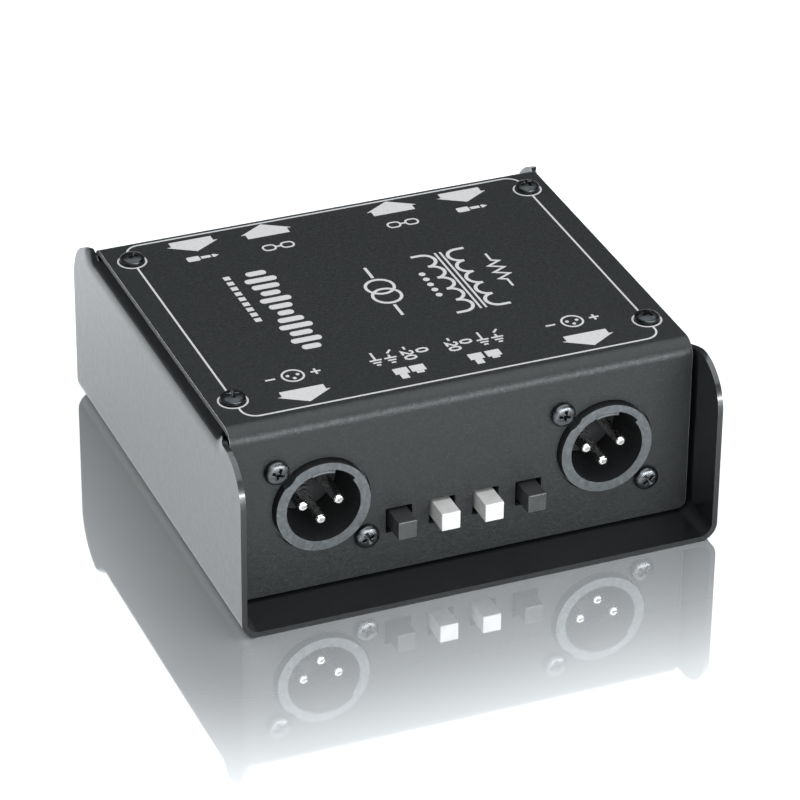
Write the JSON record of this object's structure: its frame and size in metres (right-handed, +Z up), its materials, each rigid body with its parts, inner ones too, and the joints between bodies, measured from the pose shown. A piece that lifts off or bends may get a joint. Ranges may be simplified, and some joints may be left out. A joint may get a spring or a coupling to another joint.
{
  "type": "direct injection box",
  "caption": "Passive stereo direct box in folded steel with guard ears, three-pin outputs and push switches in front, and jack sockets behind.",
  "frame": {"origin": "middle of the underside, on the surface the box stands on", "axes": "+X to the right seen from the front, +Y to the back, +Z up"},
  "size_m": [0.1072, 0.1066, 0.0444],
  "materials": {
    "tray_paint": "smooth semi-gloss black paint",
    "cover_paint": "fine-textured dark grey powder coat with white print",
    "dark_screw": "black-nickel plated",
    "bright_screw": "bright chrome plated",
    "shell_coating": "satin dark grey coating on die-cast metal",
    "black_plastic": "matt moulded black",
    "contact_plating": "silver plated",
    "black_cap": "satin moulded black",
    "white_cap": "satin moulded white",
    "jack_hardware": "nickel plated",
    "board_laminate": "green solder resist",
    "core_steel": "varnished laminations",
    "winding_tape": "amber polyester tape",
    "resistor_body": "blue coated",
    "capacitor_body": "red moulded case"
  },
  "bodies": {
    "root": {"capacitor_1": "capacitor_body", "capacitor_2": "capacitor_body", "chassis": "tray_paint", "circuit_board": "board_laminate", "cover": "cover_paint", "cover_screw_front_left": "dark_screw", "cover_screw_front_right": "dark_screw", "cover_screw_rear_left": "dark_screw", "cover_screw_rear_right": "dark_screw", "jack_body_1": "black_plastic", "jack_body_2": "black_plastic", "jack_body_3": "black_plastic", "jack_body_4": "black_plastic", "jack_contact_1": "contact_plating", "jack_contact_2": "contact_plating", "jack_contact_3": "contact_plating", "jack_contact_4": "contact_plating", "jack_nut_1": "jack_hardware", "jack_nut_2": "jack_hardware", "jack_nut_3": "jack_hardware", "jack_nut_4": "jack_hardware", "jack_washer_1": "jack_hardware", "jack_washer_2": "jack_hardware", "jack_washer_3": "jack_hardware", "jack_washer_4": "jack_hardware", "output_left_insert": "black_plastic", "output_left_pin_1": "contact_plating", "output_left_pin_2": "contact_plating", "output_left_pin_3": "contact_plating", "output_left_screw_lower": "bright_screw", "output_left_screw_upper": "bright_screw", "output_left_shell": "shell_coating", "output_right_insert": "black_plastic", "output_right_pin_1": "contact_plating", "output_right_pin_2": "contact_plating", "output_right_pin_3": "contact_plating", "output_right_screw_lower": "bright_screw", "output_right_screw_upper": "bright_screw", "output_right_shell": "shell_coating", "resistor_1": "resistor_body", "resistor_2": "resistor_body", "resistor_3": "resistor_body", "resistor_4": "resistor_body", "switch_body_1": "black_plastic", "switch_body_2": "black_plastic", "switch_body_3": "black_plastic", "switch_body_4": "black_plastic", "transformer_core_left": "core_steel", "transformer_core_right": "core_steel", "transformer_winding_left": "winding_tape", "transformer_winding_right": "winding_tape"},
    "button_1": {"button_cap_1": "black_cap", "button_plunger_1": "black_plastic"},
    "button_2": {"button_cap_2": "white_cap", "button_plunger_2": "black_plastic"},
    "button_3": {"button_cap_3": "white_cap", "button_plunger_3": "black_plastic"},
    "button_4": {"button_cap_4": "black_cap", "button_plunger_4": "black_plastic"}
  },
  "joints": [
    {"name": "press_button_1", "type": "slide", "parent": "root", "child": "button_1", "axis": [0, 1, 0], "range_m": [0, 0.0025], "stiffness_N_per_m": 300, "springref_m": -0.001},
    {"name": "press_button_2", "type": "slide", "parent": "root", "child": "button_2", "axis": [0, 1, 0], "range_m": [0, 0.0025], "stiffness_N_per_m": 300, "springref_m": -0.001},
    {"name": "press_button_3", "type": "slide", "parent": "root", "child": "button_3", "axis": [0, 1, 0], "range_m": [0, 0.0025], "stiffness_N_per_m": 300, "springref_m": -0.001},
    {"name": "press_button_4", "type": "slide", "parent": "root", "child": "button_4", "axis": [0, 1, 0], "range_m": [0, 0.0025], "stiffness_N_per_m": 300, "springref_m": -0.001}
  ]
}
